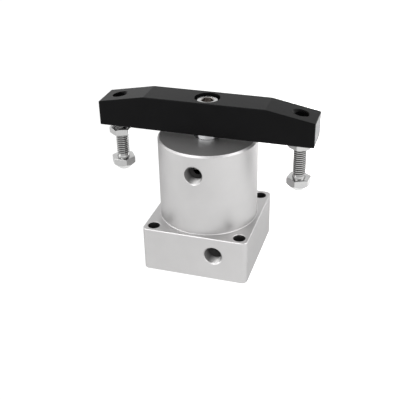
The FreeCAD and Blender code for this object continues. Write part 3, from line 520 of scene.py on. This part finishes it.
def makeNut(name, nodeName, body, turn):
    low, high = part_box(nodeName)
    middle = (low + high) / 2
    thick = high.z - low.z
    face, reach, fall = nutLook["face"], nutLook["reach"], nutLook["fall"]
    hole, mouth = nutLook["hole"], nutLook["mouth"]
    ease = mouth - hole
    profile = [(mouth, 0), (face, 0), (reach, fall), (reach, thick - fall), (face, thick), (mouth, thick)]
    profile += [(hole, thick - ease), (hole, ease), (mouth, 0)]
    form = turnSolid(name + "Form", profile, fineSteps)
    nut = makeHexPrism(name, nutLook["flats"], thick, turn, nutLook["corner"])
    combine(nut, form, "INTERSECT")
    tap = makeThreadedRod(name + "Tap", tappedThread, thick + 2 * mm)
    putAt(tap, (0, 0, -mm))
    combine(nut, tap, "DIFFERENCE")
    putAt(nut, (middle.x, middle.y, low.z))
    smoothByAngle(nut)
    dress(nut, body, "bright_steel")
    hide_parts(nodeName)
    return nut


for side, turn in nutLook["turns"].items():
    nut = makeNut(side + "LockNut", side + "_lock_nut", side + "_nut", turn)
    print("nut made:", nut.name, len(nut.data.polygons), "faces")


# socket cap screw that holds the arm on the rod

capLook = {"headRadius": 5.0 * mm, "head": 6.0 * mm, "edge": 0.6 * mm, "underEdge": 0.3 * mm,
           "ridges": 56, "ridgeDepth": 0.12 * mm, "rimGap": 0.01 * mm,
           "flats": 5.0 * mm, "depth": 3.0 * mm, "turn": 17, "leadRadius": 3.15 * mm, "leadSlope": 0.5,
           "drill": 1.1 * mm, "drillRadius": 2.4 * mm, "drillLift": 0.2 * mm,
           "tipRadius": 2.3 * mm, "tipFall": 1.0 * mm, "rooted": 0.5 * mm, "sharpAngle": 24}


# draws every other line of points round the head inward
def ridgeHead(screw, radius):
    startEdit(screw)
    bpy.ops.mesh.select_all(action="DESELECT")
    endEdit()
    for vertex in screw.data.vertices:
        onRim = Vector((vertex.co.x, vertex.co.y)).length > radius - capLook["rimGap"]
        count = round(math.atan2(vertex.co.y, vertex.co.x) / fullTurn * 2 * capLook["ridges"])
        vertex.select = onRim and count % 2 == 1
    bpy.ops.object.mode_set(mode="EDIT")
    shrink = 1 - capLook["ridgeDepth"] / radius
    bpy.ops.transform.resize(value=(shrink, shrink, 1), center_override=(0, 0, 0))
    endEdit()


def makeCapScrew(name, nodeName, body):
    low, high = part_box(nodeName)
    radius, edge, underEdge = capLook["headRadius"], capLook["edge"], capLook["underEdge"]
    top = high.z - low.z
    under = top - capLook["head"]
    bottom = top - capLook["depth"]
    profile = [(0, under), (radius - underEdge, under), (radius, under + underEdge)]
    profile += roundEdge((radius - edge, top - edge), edge, 0, 90) + [(0, top)]
    screw = turnSolid(name, profile, 2 * capLook["ridges"])
    ridgeHead(screw, radius)
    socket = makeHexPrism(name + "Socket", capLook["flats"], capLook["depth"] + mm, capLook["turn"])
    putAt(socket, (0, 0, bottom))
    combine(screw, socket, "DIFFERENCE")
    lead, slope = capLook["leadRadius"], capLook["leadSlope"]
    over = top + mm * slope
    taper = turnSolid(name + "Lead", [(0, top - lead * slope), (lead + mm, over), (0, over)])
    combine(screw, taper, "DIFFERENCE")
    drill, drillRadius, lifted = capLook["drill"], capLook["drillRadius"], bottom + capLook["drillLift"]
    point = turnSolid(name + "Drill", [(0, bottom - drill), (drillRadius, lifted), (0, lifted)])
    combine(screw, point, "DIFFERENCE")
    rod = makeThreadedRod(name + "Rod", metricThread, under + mm)
    tip, fall, rooted = capLook["tipRadius"], capLook["tipFall"], under + capLook["rooted"]
    envelope = turnSolid(name + "Tip", [(0, 0), (tip, 0), (tip + fall, fall), (tip + fall, rooted),
                                        (0, rooted)])
    combine(rod, envelope, "INTERSECT")
    combine(screw, rod, "UNION")
    putAt(screw, (0, 0, low.z))
    smoothByAngle(screw, capLook["sharpAngle"])
    dress(screw, body, "bright_steel")
    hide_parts(nodeName)
    return screw


capScrew = makeCapScrew("armCapScrew", "arm_screw", "rod_and_arm")
print("cap screw made:", len(capScrew.data.polygons), "faces")


# arm with its tapped ends

armLook = {"tapLow": 62 * mm, "tapLength": 15 * mm}


def makeArm(name, nodeName, body):
    source = frame["nodes"][nodeName]
    arm = bpy.data.objects.new(name, source.data.copy())
    arm.data.name = name
    bpy.context.scene.collection.objects.link(arm)
    arm.matrix_world = source.matrix_world
    focus(arm)
    bpy.ops.object.transform_apply(location=True, rotation=True, scale=True)
    bpy.ops.mesh.customdata_custom_splitnormals_clear()
    closeShell(arm)
    for boltNode in ("left_clamp_bolt", "right_clamp_bolt"):
        low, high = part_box(boltNode)
        tap = makeThreadedRod(name + "Tap", tappedThread, armLook["tapLength"])
        putAt(tap, ((low.x + high.x) / 2, (low.y + high.y) / 2, armLook["tapLow"]))
        combine(arm, tap, "DIFFERENCE")
    smoothByAngle(arm)
    dress(arm, body, "black_anodised")
    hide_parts(nodeName)
    return arm


arm = makeArm("clampArm", "clamp_arm", "rod_and_arm")
print("arm made:", len(arm.data.polygons), "faces")


# thread ridges in the two air ports

portLook = {"pitch": 0.907 * mm, "sunk": 0.04 * mm, "ridge": 0.42 * mm, "foot": 0.78 * mm,
            "tipWidth": 0.14 * mm, "openTurns": 1.3, "spareTurns": 2, "steps": 48}


def makePortThread(name, mountName):
    mount = mounts[mountName]
    length, bore = mount["dims"]["length_mm"] * mm, mount["dims"]["r_mm"] * mm
    pitch, foot, tipWidth = portLook["pitch"], portLook["foot"], portLook["tipWidth"]
    ridge = portLook["ridge"]
    wall, crest = bore + portLook["sunk"], bore - ridge
    lift = (foot - tipWidth) / 2
    turns = math.ceil(length / pitch) + portLook["spareTurns"]
    piece = drawProfile(name, [(wall, 0), (crest, lift), (crest, lift + tipWidth), (wall, foot), (wall, 0)])
    closeShell(piece)
    windUp(piece, pitch, turns, portLook["steps"])
    startEdit(piece)
    bpy.ops.mesh.fill_holes(sides=0)
    endEdit()
    closeShell(piece)
    putAt(piece, (0, 0, -portLook["openTurns"] * pitch))
    outer, inner = wall + ridge, crest - ridge
    sleeve = turnSolid(name + "Sleeve", [(outer, 0), (outer, length), (bore, length),
                                         (inner, length - 2 * ridge), (inner, 2 * ridge),
                                         (bore, 0), (outer, 0)], fineSteps)
    combine(piece, sleeve, "INTERSECT")  # the thread runs out at both ends
    innerEnd = Vector(mount["pos_m"]) + Vector((0, length / 2, 0))
    putAt(piece, innerEnd, (math.radians(90), 0, 0))
    smoothByAngle(piece)
    dress(piece, "housing", "satin_aluminium")
    return piece


for name, mountName in (("upperPortThread", "upper_port"), ("lowerPortThread", "lower_port")):
    thread = makePortThread(name, mountName)
    print("port thread made:", name, len(thread.data.polygons), "faces")


# stage: a dark floor made pale by painted light, a glow that grows toward the right and the back, and a sky
# that is brighter behind and low

floorLook = {"side": 6.0, "cloud": 0.4, "dark": (0.13, 0.13, 0.13), "light": (0.15, 0.15, 0.15),
             "roughness": 0.9, "glow": (0.84, 1.17), "glowReach": 80 * mm, "glowWay": (0.96, 0.28, 0)}

bpy.ops.object.select_all(action="DESELECT")
bpy.ops.mesh.primitive_plane_add(size=floorLook["side"])
floor = nameActive("studioFloor")
floorFinish, floorTree, floorShader = newFinish("paleFloor")
floorPlace = addNode(floorTree, "TexCoord").outputs["Object"]
cloud = mottle(floorTree, floorPlace, floorLook["cloud"])
link(floorTree, blend(floorTree, cloud, floorLook["dark"], floorLook["light"]), floorShader, "Base Color")
floorShader.inputs["Roughness"].default_value = floorLook["roughness"]
floorShader.inputs["Emission Color"].default_value = (1, 1, 1, 1)
slant = addNode(floorTree, "VectorMath", {0: floorPlace, 1: floorLook["glowWay"]}, operation="DOT_PRODUCT")
reach = floorLook["glowReach"]
glow = ramp(floorTree, slant.outputs["Value"], -reach, reach, *floorLook["glow"])
link(floorTree, glow, floorShader, "Emission Strength")  # painted light: the glow grows toward the right and the back
floor.data.materials.append(floorFinish)

skyLook = {"blend": 0.35,  # how far round the sides the front sky fades into the back one
           "front": [(0.0, 1.15), (0.45, 1.50), (0.65, 0.75), (0.90, 0.40)],  # (height, light)
           "back": [(0.0, 1.50), (0.35, 1.32), (0.60, 0.85), (0.90, 0.45)]}

world = bpy.data.worlds.new("studioWorld")
bpy.context.scene.world = world
world.use_nodes = True
sky = world.node_tree
skyWay = addNode(sky, "TexCoord").outputs["Generated"]


def skyBand(stops):
    band = addNode(sky, "ValToRGB", {0: axisOf(sky, skyWay, "Z")})
    steps = band.color_ramp.elements
    while len(steps) < len(stops):
        steps.new(0.5)
    for step, (place, value) in zip(steps, stops):
        step.position = place
        step.color = (value, value, value, 1)
    return band.outputs["Color"]


behind = ramp(sky, axisOf(sky, skyWay, "Y"), -skyLook["blend"], skyLook["blend"])
skies = {0: behind, 6: skyBand(skyLook["front"]), 7: skyBand(skyLook["back"])}
skyMix = addNode(sky, "Mix", skies, data_type="RGBA")
sky.links.new(skyMix.outputs[2], sky.nodes["Background"].inputs["Color"])


# lamps

softboxes = {
    "keyLight": {"place": (-0.30, -0.50, 0.84), "aim": (0, -0.05, 0.03), "side": 0.50, "watts": 2.8},
    "leftBox": {"place": (-0.85, -0.49, 0.16), "aim": (0, 0, 0.04), "side": 0.40, "watts": 2.4},
    "rightBox": {"place": (0.82, -0.14, 0.48), "aim": (0, 0, 0.04), "side": 0.60, "watts": 2.2},
    "highLeft": {"place": (-0.556, 0.118, 0.864), "aim": (0, 0, 0.04), "side": 0.40, "watts": 1.0},
    "highRight": {"place": (0.64, 0.02, 0.78), "aim": (0, 0, 0.04), "side": 0.35, "watts": 1.2},
}
paperSpot = {"place": (0.40, 0.55, 0.70), "aim": (0.072, 0.165, 0), "watts": 650.0,
             "cone": 10, "blend": 0.6, "softness": 0.03}  # lifts the paper behind


def hangLamp(name, kind, plan):
    lamp = bpy.data.lights.new(name, kind)
    lamp.energy = plan["watts"]
    holder = bpy.data.objects.new(name, lamp)
    bpy.context.scene.collection.objects.link(holder)
    holder.location = plan["place"]
    way = Vector(plan["aim"]) - Vector(plan["place"])
    holder.rotation_euler = way.to_track_quat("-Z", "Y").to_euler()
    return lamp


for name, box in softboxes.items():
    hangLamp(name, "AREA", box).size = box["side"]
spotLamp = hangLamp("floorSpot", "SPOT", paperSpot)
spotLamp.spot_size = math.radians(paperSpot["cone"])
spotLamp.spot_blend = paperSpot["blend"]
spotLamp.shadow_soft_size = paperSpot["softness"]
print("stage lit:", len(softboxes) + 1, "lamps")


# camera at the photo's angle

photoView = {"lens": 66.44, "sensor": 36.0, "nearest": 0.01,
             "azimuth": 18.03, "elevation": 29.758, "roll": -1.184,
             "place": (90.769 * mm, -292.432 * mm, 202.217 * mm)}

around, above = math.radians(photoView["azimuth"]), math.radians(photoView["elevation"])
back = Vector((math.sin(around) * math.cos(above), -math.cos(around) * math.cos(above), math.sin(above)))
level = Vector((math.cos(around), math.sin(around), 0))
upright = back.cross(level)
lean = math.radians(photoView["roll"])
right = level * math.cos(lean) + upright * math.sin(lean)
facing = Matrix((right, back.cross(right), back)).transposed()
cameraData = bpy.data.cameras.new("photoCamera")
cameraData.lens = photoView["lens"]
cameraData.sensor_width = photoView["sensor"]
cameraData.clip_start = photoView["nearest"]
camera = bpy.data.objects.new("photoCamera", cameraData)
bpy.context.scene.collection.objects.link(camera)
camera.matrix_world = Matrix.Translation(photoView["place"]) @ facing.to_4x4()
bpy.context.scene.camera = camera
bpy.context.scene.view_settings.view_transform = "Standard"
print("camera set")
